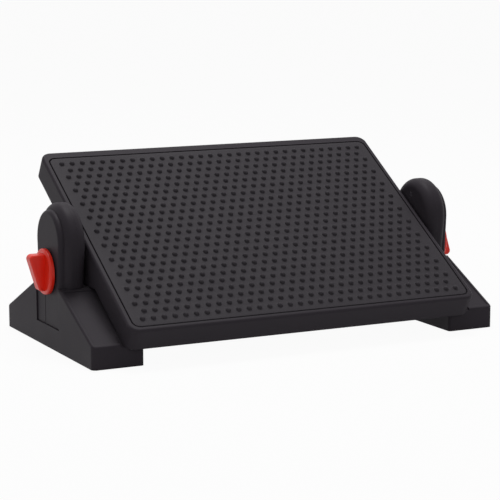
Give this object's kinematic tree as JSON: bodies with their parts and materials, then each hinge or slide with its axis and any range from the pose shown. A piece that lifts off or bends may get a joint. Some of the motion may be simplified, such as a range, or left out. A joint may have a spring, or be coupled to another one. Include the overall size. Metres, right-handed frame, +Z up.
{
  "type": "adjustable tilting footrest",
  "caption": "Floor footrest: a wide studded tray that tilts between two uprights on ramped feet, clamped by red wing knobs.",
  "frame": {"origin": "on the floor, under the middle of the whole footrest's box", "axes": "+X across the width to the right, +Y to the raised rear edge of the tray, +Z up"},
  "size_m": [0.5432, 0.2806, 0.202],
  "materials": {
    "black_polypropylene": "moulded, fine satin texture",
    "tread_polypropylene": "moulded, fine grain",
    "red_nylon": "moulded, semi-gloss",
    "black_rubber": "matt",
    "zinc_steel": "zinc plated",
    "brass": "turned",
    "fibre": "pressed fibre"
  },
  "bodies": {
    "feet": {"foot_left": "black_polypropylene", "foot_right": "black_polypropylene", "floor_pads_left": "black_rubber", "floor_pads_right": "black_rubber"},
    "uprights": {"upright_shell_left": "black_polypropylene", "upright_shell_right": "black_polypropylene", "upright_cover_left": "black_polypropylene", "upright_cover_right": "black_polypropylene", "cover_screws_left": "zinc_steel", "cover_screws_right": "zinc_steel"},
    "platform": {"platform_tray": "black_polypropylene", "tread_panel": "tread_polypropylene", "panel_screws": "zinc_steel", "pivot_bolt_left": "zinc_steel", "pivot_bolt_right": "zinc_steel", "friction_washer_left": "fibre", "friction_washer_right": "fibre"},
    "left_knob": {"knob_left": "red_nylon", "knob_insert_left": "brass", "clamp_washer_left": "zinc_steel"},
    "right_knob": {"knob_right": "red_nylon", "knob_insert_right": "brass", "clamp_washer_right": "zinc_steel"}
  },
  "joints": [
    {"name": "height", "type": "slide", "parent": "feet", "child": "uprights", "axis": [0, 0, 1], "range_m": [0, 0.03]},
    {"name": "tilt", "type": "hinge", "parent": "uprights", "child": "platform", "pos_m": [0, 0.00934, 0.0855], "axis": [1, 0, 0], "range_deg": [-31.48, 0]},
    {"name": "left_knob_turn", "type": "hinge", "parent": "uprights", "child": "left_knob", "pos_m": [-0.2485, 0.00934, 0.0855], "axis": [-1, 0, 0], "range_deg": [0, 270]},
    {"name": "right_knob_turn", "type": "hinge", "parent": "uprights", "child": "right_knob", "pos_m": [0.2485, 0.00934, 0.0855], "axis": [1, 0, 0], "range_deg": [0, 270]}
  ]
}
